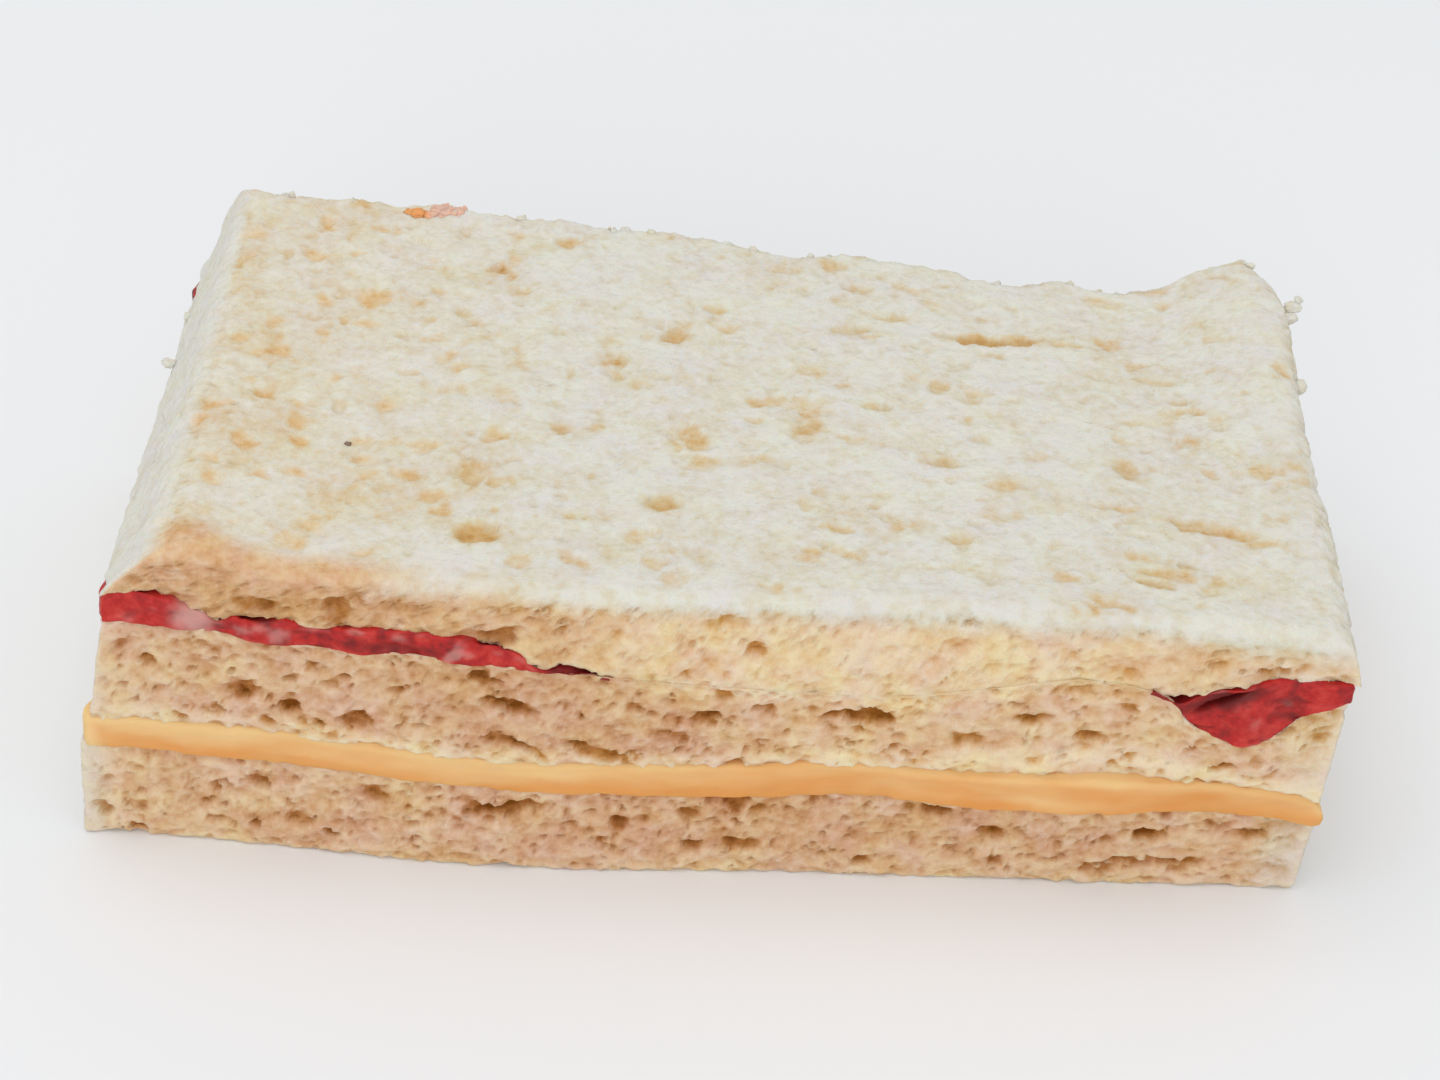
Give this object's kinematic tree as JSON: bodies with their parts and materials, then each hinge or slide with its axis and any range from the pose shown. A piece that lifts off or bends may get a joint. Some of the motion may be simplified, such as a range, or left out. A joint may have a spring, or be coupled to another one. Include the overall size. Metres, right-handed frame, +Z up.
{
  "type": "salami and cheese sandwich half",
  "caption": "Crustless half of a white bread sandwich with cheese and salami between its slices, cut square for serving or packing.",
  "frame": {"origin": "centre of the flat underside, on the table", "axes": "+X along the long cut face to the right, +Y from the front cut to the back, +Z up"},
  "size_m": [0.1063, 0.0575, 0.0332],
  "materials": {
    "bread": "soft matte white bread crumb with open pores, warmer and darker in the pores and on the cut faces",
    "cheese": "smooth, faintly waxy pale orange cheese with a soft sheen",
    "salami": "moist red cured meat with small pale fat flecks and darker folds"
  },
  "bodies": {
    "root": {"bread_bottom": "bread", "cheese_slice": "cheese", "bread_middle": "bread", "salami_flat": "salami", "salami_folded": "salami", "bread_top": "bread", "salami_scrap": "salami"}
  },
  "joints": []
}
